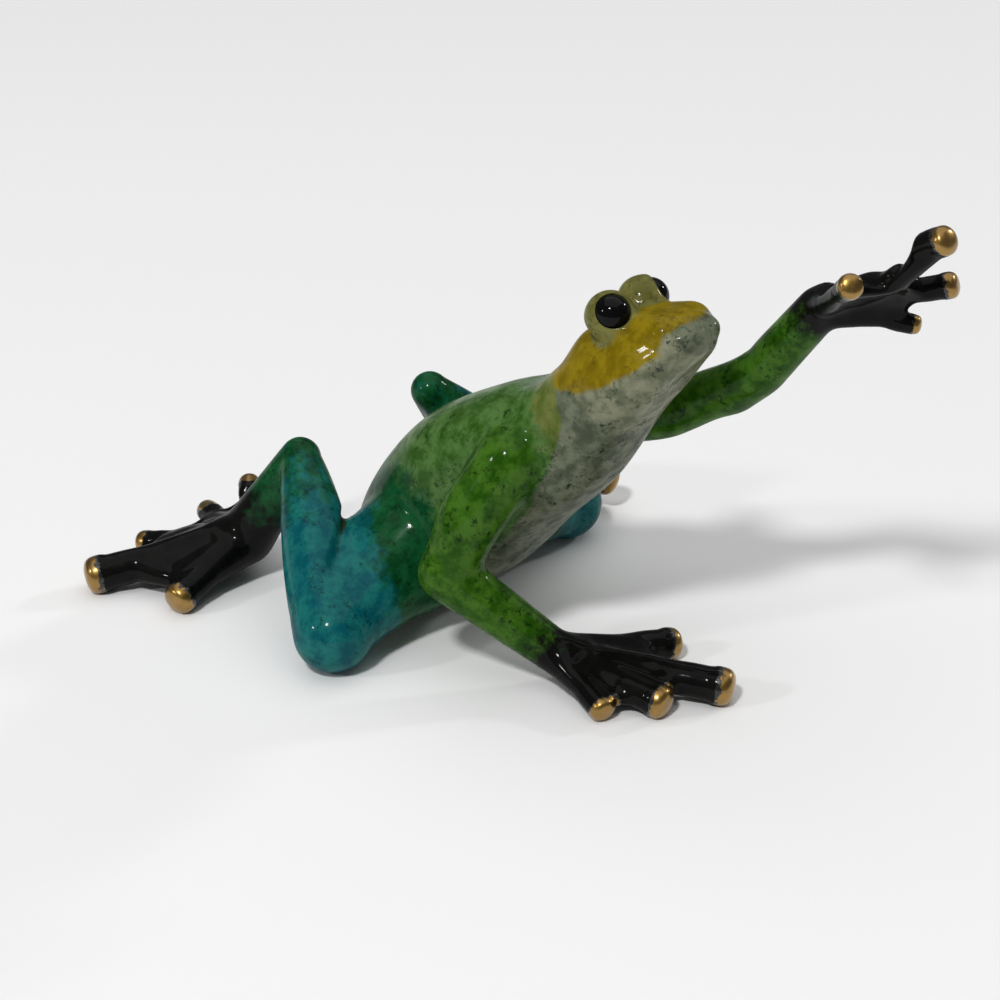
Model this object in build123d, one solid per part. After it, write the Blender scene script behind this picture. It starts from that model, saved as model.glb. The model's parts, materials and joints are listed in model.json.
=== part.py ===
"""Cast frog figurine, striding up on bent hind legs with one fore foot raised.

The figure is put together as a small foundry bronze is: a hollow body casting, four solid legs that
butt against it, four webbed feet, bare metal toe tips and glass eyes. Hidden dowels locate the legs
and feet, pegs locate the toe tips and eyes, and a plug closes the hole that the body's core left.

Frame: +X forward, +Y to the frog's left, +Z up, floor at Z = 0, origin under the middle of the figure.
"""

import math
import os
from enum import IntEnum

from build123d import *


class Side(IntEnum):
    """The frog's own right and left, as signs along Y."""

    RIGHT = -1
    LEFT = 1


# Body casting, in millimetres
BODY_LENGTH = 120.0
BODY_HALF_WIDTH = 19.0
BODY_HALF_DEPTH = 19.5
WALL = 3.0
RUMP_HEIGHT = 10.0

# Eyes
EYE_SPREAD = 5.4
EYE_RISE = 11.7
EYE_STALK_RADIUS = 5.0
EYE_RADIUS = 3.8
EYE_LID = 1.6
EYE_DOME = 2.7
EYE_GIRDLE = 1.2
EYE_PROUD = 0.5
EYE_PEG_RADIUS = 1.2
EYE_PEG_LENGTH = 2.4

# Fore legs; a planted bone's reach is measured along the floor
SHOULDER_RADIUS = 7.2
SHOULDER_SINK = 1.0
SHOULDER_DROP = -0.5
PLANTED_UPPER_ARM_LENGTH = 28.7
RAISED_UPPER_ARM_LENGTH = 33.5
PLANTED_ELBOW_RADIUS = 6.3
RAISED_ELBOW_RADIUS = 5.5
PLANTED_FOREARM_REACH = 24.3
RAISED_FOREARM_LENGTH = 34.2
WRIST_RADIUS = 4.9
WRIST_HEIGHT = 7.6

# Hind legs
HIP_RADIUS = 15.0
HIP_SINK = 3.0
HIP_DROP = 5.0
THIGH_REACH = 27.0
KNEE_RADIUS = 8.9
SHANK_LENGTH = 46.0
HEEL_RADIUS = 4.5
TARSUS_LENGTH = 27.0
INSTEP_RADIUS = 6.8

# Feet
FORE_TOE_REACH = 35.8
HIND_TOE_REACH = 34.0
TOE_ROOT_RADIUS = 4.1
TOE_WAIST_RADIUS = 3.9
TOE_TIP_RADIUS = 4.6
WEB_THICKNESS = 4.2
REST_FLAT = 0.4

# Joints between castings
DOWEL_RADIUS = 1.5
DOWEL_LENGTH = 11.0
BOSS_RADIUS = 4.5
CUFF_LENGTH = 7.0
PLUG_RADIUS = 6.0
JOINT_CLEARANCE = 0.03
CUT_OVERRUN = 20.0

# Spine steps as shares of the body length, with each step's pitch in degrees
SPINE_STEP_SHARES = (0.091, 0.121, 0.115, 0.116, 0.101, 0.102, 0.111, 0.102, 0.089, 0.052)
SPINE_PITCH_ANGLES = (21, 36, 41, 41, 38, 43, 50, 44, 40, 37)
# Half width and half depth of the body at the ends of those steps, as shares of the largest
WIDTH_SHARES = (0.22, 0.72, 0.95, 1.00, 0.96, 0.87, 0.73, 0.71, 0.66, 0.49, 0.24)
DEPTH_SHARES = (0.20, 0.68, 0.97, 1.00, 0.89, 0.785, 0.69, 0.565, 0.455, 0.335, 0.18)
# Places along the spine, as shares of the body length from the rump
HIP_SHARE = 0.192
PLUG_SHARE = 0.32
SHOULDER_SHARE = 0.56
EYE_SHARE = 0.875
# Where an eye's stalk starts inside the head, as shares of the eye's own place
STALK_ROOT_SHARE = 0.55
# The eyes look forward, out and up by these shares
EYE_GAZE_SHARES = {Side.RIGHT: (0.60, 0.52, 0.61), Side.LEFT: (0.54, 0.74, 0.40)}

# A section is a rounded box: points round it, and how round it is (1 is an ellipse)
SECTION_POINTS = 16
SECTION_ROUND_SHARE = 0.87
# A limb's inner joint ball against the outer limb's, so that the two never share a face
INNER_BALL_SHARE = 0.93
# How full a bone is half way along, against the straight cone between its joints
UPPER_ARM_FULL_SHARE = 1.10
THIGH_FULL_SHARE = 0.86
SHANK_FULL_SHARE = 1.22

# Toes: reach and tip size as shares of the longest toe's, from the inner toe outwards
PLANTED_TOE_SHARES = ((0.76, 0.82), (1.00, 0.95), (0.70, 0.86), (0.49, 0.72))
RAISED_TOE_SHARES = ((0.76, 0.62), (1.00, 0.71), (0.75, 0.65), (0.53, 0.54))
HIND_TOE_SHARES = ((0.64, 0.88), (1.00, 1.00), (0.77, 0.68), (0.68, 0.64), (0.74, 0.62))
# Along a toe, as shares of its length: its narrow waist, and how far its web reaches
TOE_WAIST_SHARE = 0.60
KNUCKLE_SHARE = 0.62
KNUCKLE_SWELL_SHARE = 1.05
WEB_REACH_SHARE = 0.78
WEB_DIP_SHARE = 0.18
# A web starts inside the palm and is tucked into its toes, as shares of its reach and their waists
WEB_START_SHARE = 0.12
WEB_TUCK_SHARE = 0.45
# On a tip, as shares of its ball: where the ball leaves the toe, where the bare metal starts, its peg
BALL_NECK_SHARE = 0.60
TIP_CUT_SHARE = 0.05
PEG_RADIUS_SHARE = 0.30
PEG_LENGTH_SHARE = 0.80

# Pose of each limb: yaw from forward towards the left, and pitch above level, in degrees
UPPER_ARM_ANGLES = {Side.RIGHT: (-123, -60), Side.LEFT: (14, 17)}
RIGHT_FOREARM_YAW_ANGLE = 30
LEFT_FOREARM_ANGLES = (0, 53)
THIGH_YAW_ANGLES = {Side.RIGHT: -86, Side.LEFT: 87}
SHANK_ANGLES = {Side.RIGHT: (143, 32), Side.LEFT: (-128, 45)}
TARSUS_ANGLES = {Side.RIGHT: (-158, -58), Side.LEFT: (107, -45)}
RIGHT_FORE_TOE_YAW_ANGLES = (64, 27, 8, -18)
LEFT_FORE_TOE_ANGLES = ((-44, 31), (-4, 38), (20, 18), (27, -6))
HIND_TOE_YAW_ANGLES = {Side.RIGHT: (-88, -127, -161, 158, 133), Side.LEFT: (152, 45, 73, 99, 125)}
# How far a planted tip stands off the floor, as shares of its ball
HIND_LIFT_SHARES = {Side.RIGHT: (0.0, 0.0, 0.2, 1.15, 2.9), Side.LEFT: (0.0, 0.95, 0.2, 0.4, 0.4)}
# How far a turned-up toe's knuckle sags below the straight line, as shares of the toe
HIND_SAG_SHARES = {Side.RIGHT: (0.0, 0.0, 0.0, 0.10, 0.14), Side.LEFT: (0.0, 0.0, 0.0, 0.0, 0.0)}
RAISED_SAG_SHARES = (0.0, 0.07, 0.0, 0.0)


def unit(yaw, pitch):
    """A direction from a yaw and a pitch in degrees."""
    a, e = math.radians(yaw), math.radians(pitch)
    return Vector(math.cos(a) * math.cos(e), math.sin(a) * math.cos(e), math.sin(e))


def reach(start, length, yaw, pitch):
    """The far end of a straight bone."""
    return start + unit(yaw, pitch) * length


def stand(start, floor_reach, yaw, height):
    """The far end of a bone that reaches along the floor and stands at a given height."""
    level = reach(start, floor_reach, yaw, 0)
    return Vector(level.X, level.Y, height)


# Spine and body sections

def spine_stations():
    """Points of the spine in the middle plane, from rump to snout, with the pitch at each."""
    point = Vector(0, 0, RUMP_HEIGHT)
    points = [point]
    for share, pitch in zip(SPINE_STEP_SHARES, SPINE_PITCH_ANGLES):
        point = reach(point, share * BODY_LENGTH, 0, pitch)
        points.append(point)
    inner = [(a + b) / 2 for a, b in zip(SPINE_PITCH_ANGLES, SPINE_PITCH_ANGLES[1:])]
    return points, [SPINE_PITCH_ANGLES[0], *inner, SPINE_PITCH_ANGLES[-1]]


SPINE, PITCHES = spine_stations()


def along_spine(share):
    """The point, pitch, half width and half depth of the body at a share of its length."""
    done = 0.0
    for i, step in enumerate(SPINE_STEP_SHARES):
        if share <= done + step:
            t = (share - done) / step
            point = SPINE[i] + (SPINE[i + 1] - SPINE[i]) * t
            mix = [a[i] + (a[i + 1] - a[i]) * t for a in (PITCHES, WIDTH_SHARES, DEPTH_SHARES)]
            return point, mix[0], mix[1] * BODY_HALF_WIDTH, mix[2] * BODY_HALF_DEPTH
        done += step
    raise ValueError("the share lies past the snout")


def off_spine(share, lateral, dorsal):
    """A point beside the spine, by its distances to the left and towards the back."""
    point, pitch, _, _ = along_spine(share)
    return point + Vector(0, 1, 0) * lateral + unit(0, pitch + 90) * dorsal


def flank(share, drop):
    """How far the body's side lies from the middle plane, a drop below the spine."""
    _, _, half_width, half_depth = along_spine(share)
    rise = abs(drop / half_depth) ** (1 / SECTION_ROUND_SHARE)
    return half_width * math.sqrt(1 - rise**2) ** SECTION_ROUND_SHARE


def body_section(point, pitch, half_width, half_depth):
    """One rounded-box section of the body, square to the spine."""
    def bow(value):
        return math.copysign(abs(value) ** SECTION_ROUND_SHARE, value)

    turns = [2 * math.pi * i / SECTION_POINTS for i in range(SECTION_POINTS)]
    outline = [(half_width * bow(math.cos(a)), half_depth * bow(math.sin(a))) for a in turns]
    plane = Plane(origin=point, x_dir=(0, 1, 0), z_dir=unit(0, pitch))
    return plane * make_face(Spline(*outline, periodic=True))


def body_loft(inset, first, last):
    """The body's form between two stations, drawn in all round by an inset."""
    return loft([
        body_section(
            SPINE[i],
            PITCHES[i],
            WIDTH_SHARES[i] * BODY_HALF_WIDTH - inset,
            DEPTH_SHARES[i] * BODY_HALF_DEPTH - inset,
        )
        for i in range(first, last)
    ])


# Shapes that the pieces are made of

def lathe(start, direction, *edges):
    """Turns a closed outline, drawn along X with its radius in Y, about a line in space."""
    side = Vector(0, 0, 1).cross(direction)
    plane = Plane(origin=start, x_dir=direction, z_dir=side)
    return revolve(plane * make_face(Curve() + list(edges)), axis=Axis(start, direction))


def bone(start, end, start_radius, end_radius, full_share=1.0):
    """A limb between two joint balls: a cone tangent to both, or a fuller or leaner one."""
    span = end - start
    lean = math.asin((start_radius - end_radius) / span.length)

    def on_ball(centre, radius, angle):
        return (centre + radius * math.cos(angle), radius * math.sin(angle))

    meet = math.pi / 2 - lean
    near, far = on_ball(0, start_radius, meet), on_ball(span.length, end_radius, meet)
    full = ((near[0] + far[0]) / 2, full_share * (near[1] + far[1]) / 2)
    side = Line(near, far) if full_share == 1.0 else ThreePointArc(near, full, far)
    back, front = (-start_radius, 0), (span.length + end_radius, 0)
    return lathe(
        start,
        span.normalized(),
        ThreePointArc(back, on_ball(0, start_radius, (math.pi + meet) / 2), near),
        side,
        ThreePointArc(far, on_ball(span.length, end_radius, meet / 2), front),
        Line(front, back),
    )


def rod(centre, direction, radius, length):
    """A cylinder about a line in space, centred on a point."""
    return Plane(origin=centre, z_dir=direction) * Cylinder(radius, length)


def dowel(centre, direction):
    """A locating dowel that goes half into each of two castings."""
    return rod(centre, direction, DOWEL_RADIUS, DOWEL_LENGTH)


def dowel_hole(centre, direction):
    """The room that a dowel takes in the castings it joins."""
    return rod(
        centre, direction, DOWEL_RADIUS + JOINT_CLEARANCE, DOWEL_LENGTH + 2 * JOINT_CLEARANCE
    )


def floor_block():
    """Everything below the floor, to grind the resting points flat."""
    span = BODY_LENGTH + HIND_TOE_REACH + FORE_TOE_REACH + SHANK_LENGTH + RAISED_FOREARM_LENGTH
    return Pos(0, 0, -CUT_OVERRUN / 2) * Box(2 * span, 2 * span, CUT_OVERRUN)


def beyond(solid, point, direction):
    """The part of a solid that lies past a plane."""
    return split(solid, bisect_by=Plane(origin=point, z_dir=direction), keep=Keep.TOP)


# Pieces

class Toe:
    """A toe from the foot's root to its ball tip, straight or turned up at a knuckle."""

    def __init__(self, root, end, ball, sag_share=0.0):
        self.root, self.end, self.ball = root, end, ball
        self.length = (end - root).length
        self.waist_radius = TOE_WAIST_RADIUS * ball / TOE_TIP_RADIUS
        self.bent = sag_share > 0
        knuckle = root + (end - root) * KNUCKLE_SHARE
        self.knuckle = knuckle - Vector(0, 0, 1) * (sag_share * self.length)
        self.start = self.knuckle if self.bent else root
        self.direction = (end - self.start).normalized()
        self.lead = (self.knuckle - root).normalized()

    def whole(self):
        """The toe with its tip, as one form."""
        span = (self.end - self.start).length
        neck = (span - BALL_NECK_SHARE * self.ball, math.sqrt(1 - BALL_NECK_SHARE**2) * self.ball)
        turn = math.acos(-BALL_NECK_SHARE) / 2
        crown = (span + self.ball * math.cos(turn), self.ball * math.sin(turn))
        waist = (TOE_WAIST_SHARE * neck[0], self.waist_radius)
        rim = (0, self.waist_radius if self.bent else TOE_ROOT_RADIUS)
        foot, nose = (0, 0), (span + self.ball, 0)
        form = lathe(
            self.start,
            self.direction,
            Line(foot, rim),
            Spline(rim, waist, neck),
            ThreePointArc(neck, crown, nose),
            Line(nose, foot),
        )
        if self.bent:
            knuckle_radius = KNUCKLE_SWELL_SHARE * self.waist_radius
            form = form + bone(self.root, self.knuckle, TOE_ROOT_RADIUS, knuckle_radius)
        return form

    def cut_point(self):
        """Where the bare tip meets the toe."""
        return self.end - self.direction * (TIP_CUT_SHARE * self.ball)

    def peg(self, clearance):
        """The tip's peg, or the hole for it with a clearance."""
        length = PEG_LENGTH_SHARE * self.ball + clearance
        middle = self.cut_point() - self.direction * (length / 2)
        return rod(middle, self.direction, PEG_RADIUS_SHARE * self.ball + clearance, length)

    def tip(self):
        """The bare metal end with its peg."""
        return beyond(self.whole(), self.cut_point(), self.direction) + self.peg(0)

    def stem(self):
        """The toe up to its tip."""
        return beyond(self.whole(), self.cut_point(), -self.direction)


def web(one, other):
    """The skin between two toes, with a hollow edge, tucked into the toes but not across them."""
    reach_out = WEB_REACH_SHARE * math.sqrt(one.length * other.length)
    ends = one.root + one.lead * reach_out, other.root + other.lead * reach_out
    across = (ends[1] - ends[0]).normalized()
    near = ends[0] + across * (WEB_TUCK_SHARE * one.waist_radius)
    far = ends[1] - across * (WEB_TUCK_SHARE * other.waist_radius)
    middle = (near + far) / 2
    inward = (one.root - middle).normalized()
    axil = one.root - inward * (WEB_START_SHARE * reach_out)
    dip = middle + inward * (WEB_DIP_SHARE * (far - near).length)
    plane = Plane(origin=axil, x_dir=-inward, z_dir=inward.cross(across))
    corners = [plane.to_local_coords(point) for point in (axil, near, dip, far)]
    edges = [Line(corners[0], corners[1]), ThreePointArc(*corners[1:]), Line(corners[3], corners[0])]
    slab = extrude(make_face(Curve() + edges), amount=WEB_THICKNESS)
    return plane * Pos(0, 0, -WEB_THICKNESS / 2) * slab


def joined(solids):
    """Several overlapping solids as one, added one at a time."""
    whole, *rest = solids
    for solid in rest:
        whole = whole + solid
    return whole


class Limb:
    """A leg and its foot: two castings with a dowel between them."""

    def __init__(self, joints, radii, full_shares, toes, ground):
        self.joints, self.radii, self.full_shares = joints, radii, full_shares
        self.toes, self.ground = toes, ground
        self.axis = (joints[-1] - joints[-2]).normalized()
        self.cuff = joints[-1] - self.axis * CUFF_LENGTH
        self.last_bone = bone(joints[-2], joints[-1], radii[-2], radii[-1])
        self.ankle = beyond(self.last_bone, self.cuff, self.axis)

    def leg(self, body):
        """The leg from the body's side to the cuff, with its joints bent and room for the ankle."""
        bones = [beyond(self.last_bone, self.cuff, -self.axis)]
        for i, full_share in enumerate(self.full_shares):
            radii = self.radii[i], INNER_BALL_SHARE * self.radii[i + 1]
            full_bone = bone(self.joints[i], self.joints[i + 1], *radii, full_share)
            bones.append(full_bone - self.ankle)
        return joined(bones) - body - dowel_hole(self.cuff, self.axis) - self.ground

    def foot(self):
        """The foot from the cuff on, with its webbed toes but not their tips."""
        stems = [toe.stem() for toe in self.toes]
        webs = [web(a, b) for a, b in zip(self.toes, self.toes[1:])]
        whole = joined([self.ankle, *stems, *webs])
        for toe in self.toes:
            whole = whole - toe.peg(JOINT_CLEARANCE)
        return whole - dowel_hole(self.cuff, self.axis) - self.ground

    def tips(self):
        """The toe tips, each a separate piece of metal."""
        return Compound([solid for toe in self.toes for solid in (toe.tip() - self.ground).solids()])

    def cuff_dowel(self):
        """The dowel between leg and foot."""
        return dowel(self.cuff, self.axis)


def body_joint(share, drop, sink, side):
    """The ball at a leg's root, and the point on the body's side where its dowel is centred."""
    spread = flank(share, drop)
    return off_spine(share, side * (spread - sink), -drop), off_spine(share, side * spread, -drop)


def planted(ball, lift_share=0.0):
    """The height of a tip's centre when its ground flat is on the floor."""
    return ball * (1 + lift_share) - REST_FLAT


def fore_limb(side, ground):
    """The planted right fore leg, or the raised left one."""
    shoulder, _ = body_joint(SHOULDER_SHARE, SHOULDER_DROP, SHOULDER_SINK, side)
    standing = side == Side.RIGHT
    upper_arm = PLANTED_UPPER_ARM_LENGTH if standing else RAISED_UPPER_ARM_LENGTH
    elbow = reach(shoulder, upper_arm, *UPPER_ARM_ANGLES[side])
    toe_shares = PLANTED_TOE_SHARES if standing else RAISED_TOE_SHARES
    sizes = [(FORE_TOE_REACH * a, TOE_TIP_RADIUS * b) for a, b in toe_shares]
    if standing:
        wrist = stand(elbow, PLANTED_FOREARM_REACH, RIGHT_FOREARM_YAW_ANGLE, WRIST_HEIGHT)
        toes = [
            Toe(wrist, stand(wrist, length, yaw, planted(ball)), ball)
            for (length, ball), yaw in zip(sizes, RIGHT_FORE_TOE_YAW_ANGLES)
        ]
    else:
        wrist = reach(elbow, RAISED_FOREARM_LENGTH, *LEFT_FOREARM_ANGLES)
        toes = [
            Toe(wrist, reach(wrist, length, *angles), ball, sag_share)
            for (length, ball), angles, sag_share in zip(sizes, LEFT_FORE_TOE_ANGLES, RAISED_SAG_SHARES)
        ]
    radii = [SHOULDER_RADIUS, PLANTED_ELBOW_RADIUS if standing else RAISED_ELBOW_RADIUS, WRIST_RADIUS]
    return Limb([shoulder, elbow, wrist], radii, [UPPER_ARM_FULL_SHARE], toes, ground)


def hind_limb(side, ground):
    """A hind leg folded down on its knee, with its foot spread behind or beside it."""
    hip, _ = body_joint(HIP_SHARE, HIP_DROP, HIP_SINK, side)
    knee = stand(hip, THIGH_REACH, THIGH_YAW_ANGLES[side], KNEE_RADIUS - REST_FLAT)
    heel = reach(knee, SHANK_LENGTH, *SHANK_ANGLES[side])
    instep = reach(heel, TARSUS_LENGTH, *TARSUS_ANGLES[side])
    toes = []
    poses = zip(HIND_TOE_SHARES, HIND_TOE_YAW_ANGLES[side], HIND_LIFT_SHARES[side], HIND_SAG_SHARES[side])
    for (reach_share, ball_share), yaw, lift_share, sag_share in poses:
        ball = TOE_TIP_RADIUS * ball_share
        end = stand(instep, HIND_TOE_REACH * reach_share, yaw, planted(ball, lift_share))
        toes.append(Toe(instep, end, ball, sag_share))
    toes.sort(key=lambda toe: side * math.atan2(toe.lead.Y, toe.lead.X) % (2 * math.pi))
    radii = [HIP_RADIUS, KNEE_RADIUS, HEEL_RADIUS, INSTEP_RADIUS]
    full_shares = [THIGH_FULL_SHARE, SHANK_FULL_SHARE]
    return Limb([hip, knee, heel, instep], radii, full_shares, toes, ground)


class Eye:
    """A glass eye, and the lump of the head that holds it."""

    def __init__(self, side):
        forward, out, up = EYE_GAZE_SHARES[side]
        self.centre = off_spine(EYE_SHARE, side * EYE_SPREAD, EYE_RISE)
        self.root = off_spine(EYE_SHARE, side * EYE_SPREAD * STALK_ROOT_SHARE, 0)
        self.gaze = Vector(forward, side * out, up).normalized()
        self.lump_radius = EYE_RADIUS + EYE_LID
        self.seat = self.centre + self.gaze * (self.lump_radius + EYE_PROUD - EYE_DOME - EYE_GIRDLE)

    def lump(self):
        """The bulge on the head round the eye."""
        return bone(self.root, self.centre, EYE_STALK_RADIUS, self.lump_radius)

    def stone(self, clearance):
        """The domed eye with its peg, or its socket with a clearance."""
        girdle, peg = EYE_RADIUS + clearance, EYE_PEG_RADIUS + clearance
        bottom, top = -EYE_PEG_LENGTH - clearance, EYE_GIRDLE + EYE_DOME
        radius = (girdle**2 + EYE_DOME**2) / (2 * EYE_DOME)
        turn = math.atan2(girdle, radius - EYE_DOME) / 2
        crown = (top - radius + radius * math.cos(turn), radius * math.sin(turn))
        steps = [(top, 0), (bottom, 0), (bottom, peg), (-clearance, peg), (-clearance, girdle)]
        steps.append((EYE_GIRDLE, girdle))
        edges = [Line(a, b) for a, b in zip(steps, steps[1:])]
        return lathe(self.seat, self.gaze, *edges, ThreePointArc(steps[-1], crown, (top, 0)))


def body_pieces(eyes, roots):
    """The hollow body casting and the plug in its belly, with sockets for all that it carries."""
    form = body_loft(0, 0, len(SPINE))
    outside = joined([form, *(eye.lump() for eye in eyes)])
    hollow = body_loft(WALL, 1, len(SPINE) - 2)
    casting = outside - hollow
    for centre, side in roots:
        inward = Vector(0, -side, 0)
        boss = rod(centre, inward, BOSS_RADIUS, DOWEL_LENGTH + 2 * WALL) & form
        casting = casting + boss - dowel_hole(centre, inward)
    for eye in eyes:
        casting = casting - eye.stone(JOINT_CLEARANCE)
    plug_point, pitch, _, half_depth = along_spine(PLUG_SHARE)
    down = -unit(0, pitch + 90)
    middle = plug_point + down * half_depth
    plug = rod(middle, down, PLUG_RADIUS, half_depth) & casting
    hole = rod(middle, down, PLUG_RADIUS + JOINT_CLEARANCE, half_depth)
    return outside, casting - hole, plug


def main():
    """Builds every piece, centres the figure over the origin and writes one file per piece."""
    ground = floor_block()
    eyes = {side: Eye(side) for side in Side}
    names = {side: side.name.lower() for side in Side}
    joints = {
        "shoulder": (SHOULDER_SHARE, SHOULDER_DROP, SHOULDER_SINK),
        "hip": (HIP_SHARE, HIP_DROP, HIP_SINK),
    }
    roots = {
        (joint, side): body_joint(*sizes, side)[1]
        for joint, sizes in joints.items()
        for side in names
    }
    outside, casting, plug = body_pieces(
        list(eyes.values()), [(point, side) for (_, side), point in roots.items()]
    )
    pieces = {"torso_casting": casting - ground, "belly_plug": plug}
    for side, word in names.items():
        pieces[f"{word}_eye"] = eyes[side].stone(0)
        limbs = {"fore": fore_limb(side, ground), "hind": hind_limb(side, ground)}
        for end, joint, cuff in (("fore", "shoulder", "wrist"), ("hind", "hip", "ankle")):
            limb, root = limbs[end], roots[joint, side]
            lateral = Vector(0, side, 0)
            pieces[f"{word}_{end}_leg"] = limb.leg(outside) - dowel_hole(root, lateral)
            pieces[f"{word}_{end}_foot"] = limb.foot()
            pieces[f"{word}_{end}_toe_tips"] = limb.tips()
            pieces[f"{word}_{joint}_dowel"] = dowel(root, lateral)
            pieces[f"{word}_{cuff}_dowel"] = limb.cuff_dowel()
    box = Compound([solid for piece in pieces.values() for solid in piece.solids()]).bounding_box()
    middle = box.center()
    os.makedirs("parts", exist_ok=True)
    for name, piece in pieces.items():
        export_step(Pos(-middle.X, -middle.Y, 0) * piece, f"parts/{name}.step")
    print("overall size", [round(v, 1) for v in box.size])
    print("shift to the origin", round(-middle.X, 3), round(-middle.Y, 3))


main()
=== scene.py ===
"""Looks of a cast frog figurine, dressed over its solid model.

The castings get one modelled skin, as a founder chases the joints of an assembled bronze away. The
skin is coloured by zones, as the patina is torched on, with some painted shade and light among them, and
parted again along the castings' joints.
Lengths and places are millimetres in the solid model's own frame unless a name says metres.
"""

import json
import logging
import math
from collections.abc import Callable, Iterator, Sequence
from contextlib import contextmanager
from dataclasses import dataclass, field
from enum import Enum

import bmesh
import bpy
import numpy as np
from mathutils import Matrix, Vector
from mathutils.bvhtree import BVHTree

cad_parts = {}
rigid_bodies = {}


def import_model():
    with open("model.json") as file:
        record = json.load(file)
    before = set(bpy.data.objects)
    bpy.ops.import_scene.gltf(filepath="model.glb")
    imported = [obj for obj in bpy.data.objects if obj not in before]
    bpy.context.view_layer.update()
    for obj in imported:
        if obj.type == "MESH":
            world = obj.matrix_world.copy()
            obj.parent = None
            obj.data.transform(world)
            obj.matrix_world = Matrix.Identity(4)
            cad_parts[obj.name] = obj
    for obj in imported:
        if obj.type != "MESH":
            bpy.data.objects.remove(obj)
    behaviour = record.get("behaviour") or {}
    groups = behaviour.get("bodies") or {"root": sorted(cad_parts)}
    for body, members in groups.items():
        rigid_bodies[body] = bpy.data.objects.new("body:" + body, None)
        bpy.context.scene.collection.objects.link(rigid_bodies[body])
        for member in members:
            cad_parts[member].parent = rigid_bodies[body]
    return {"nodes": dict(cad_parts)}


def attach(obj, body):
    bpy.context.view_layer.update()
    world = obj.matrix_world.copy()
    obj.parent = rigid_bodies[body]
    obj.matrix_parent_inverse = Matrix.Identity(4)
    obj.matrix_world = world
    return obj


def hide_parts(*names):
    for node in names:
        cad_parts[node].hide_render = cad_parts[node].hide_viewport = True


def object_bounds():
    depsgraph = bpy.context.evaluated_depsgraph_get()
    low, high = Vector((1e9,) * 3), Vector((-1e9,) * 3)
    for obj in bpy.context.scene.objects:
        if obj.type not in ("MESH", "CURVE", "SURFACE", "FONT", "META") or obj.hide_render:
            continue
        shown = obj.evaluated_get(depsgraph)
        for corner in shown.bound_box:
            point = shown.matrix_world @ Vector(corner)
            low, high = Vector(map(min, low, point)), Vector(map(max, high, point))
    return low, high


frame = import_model()
CAD_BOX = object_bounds()

LOG = logging.getLogger("frog_figurine")
MM = 0.001
IMAGE_PIXELS = 1000
MERGE_GAP = 0.002
TRUE_EDGE_ANGLE = 35
BALL_SEGMENTS = 24
BALL_RINGS = 14

Point = tuple[float, float, float]
Pair = tuple[float, float]
# Two values, at which something is 0 and 1
Band = tuple[float, float]
Ball = tuple[Sequence[float], float]
Inputs = dict[str | int, object]
# Places of a mix node's sockets for colours, whose names are not its alone
SHARE, UNDER, OVER, MIXED = 0, 6, 7, 2


class Side(Enum):
    """The frog's own right and left."""

    RIGHT = "right"
    LEFT = "left"


class End(Enum):
    """Fore and hind limbs."""

    FORE = "fore"
    HIND = "hind"


class Slot(Enum):
    """The record's finishes."""

    GREEN = "green_patina"
    TEAL = "teal_patina"
    BLACK = "black_patina"
    BRASS = "polished_brass"
    GLASS = "black_glass"
    STEEL = "dowel_steel"


# Small tools


def deselect_all() -> None:
    """Leaves nothing selected, so that an operator acts only on what is chosen next."""
    for obj in bpy.context.view_layer.objects:
        obj.select_set(False)


def activate(obj: bpy.types.Object) -> None:
    """Makes an object the only selected one and the active one.

    Args:
        obj: the object to work on.
    """
    deselect_all()
    obj.select_set(True)
    bpy.context.view_layer.objects.active = obj


@contextmanager
def editing(obj: bpy.types.Object) -> Iterator[None]:
    """Edit mode on one object, with its whole mesh selected.

    Args:
        obj: the object to edit.

    Returns:
        A context that goes back to object mode where it ends.
    """
    activate(obj)
    bpy.ops.object.mode_set(mode="EDIT")
    bpy.ops.mesh.select_all(action="SELECT")
    yield
    bpy.ops.object.mode_set(mode="OBJECT")


def values_of(items: bpy.types.bpy_prop_collection, name: str, width: int, kind: type) -> np.ndarray:
    """One property of all the points, edges, corners or faces of a mesh.

    Args:
        items: the points, edges, corners or faces.
        name: the property's name.
        width: how many numbers it has.
        kind: the numbers' type.

    Returns:
        All the numbers in one row.
    """
    values = np.empty(len(items) * width, kind)
    items.foreach_get(name, values)
    return values


def node_copy(node: str, name: str) -> bpy.types.Object:
    """A merged copy of a solid's mesh.

    Args:
        node: the solid's name in the frame.
        name: the copy's name.

    Returns:
        The new object, with its triangles welded together.
    """
    obj = bpy.data.objects.new(name, frame["nodes"][node].data.copy())
    bpy.context.scene.collection.objects.link(obj)
    obj.data.materials.clear()
    with editing(obj):
        bpy.ops.mesh.remove_doubles(threshold=MERGE_GAP * MM)
    return obj


def joined(objects: Sequence[bpy.types.Object]) -> bpy.types.Object:
    """Several objects as one.

    Args:
        objects: the objects, of which only the first is left.

    Returns:
        The first object, with all the meshes in it.
    """
    activate(objects[0])
    for obj in objects:
        obj.select_set(True)
    bpy.ops.object.join()
    return objects[0]


def hull(name: str, balls: Sequence[Ball]) -> bpy.types.Object:
    """A tight skin round several balls, as flesh lies over bones.

    Args:
        name: the new object's name.
        balls: each ball's middle and radius.

    Returns:
        The closed object, with its place in its mesh.
    """
    deselect_all()
    spheres = []
    for middle, radius in balls:
        bpy.ops.mesh.primitive_uv_sphere_add(
            segments=BALL_SEGMENTS,
            ring_count=BALL_RINGS,
            radius=radius * MM,
            location=[c * MM for c in middle],
        )
        spheres.append(bpy.context.active_object)
    whole = joined(spheres)
    whole.name = name
    with editing(whole):
        bpy.ops.mesh.convex_hull()
    bpy.ops.object.transform_apply(location=True, rotation=True, scale=True)
    return whole


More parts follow.
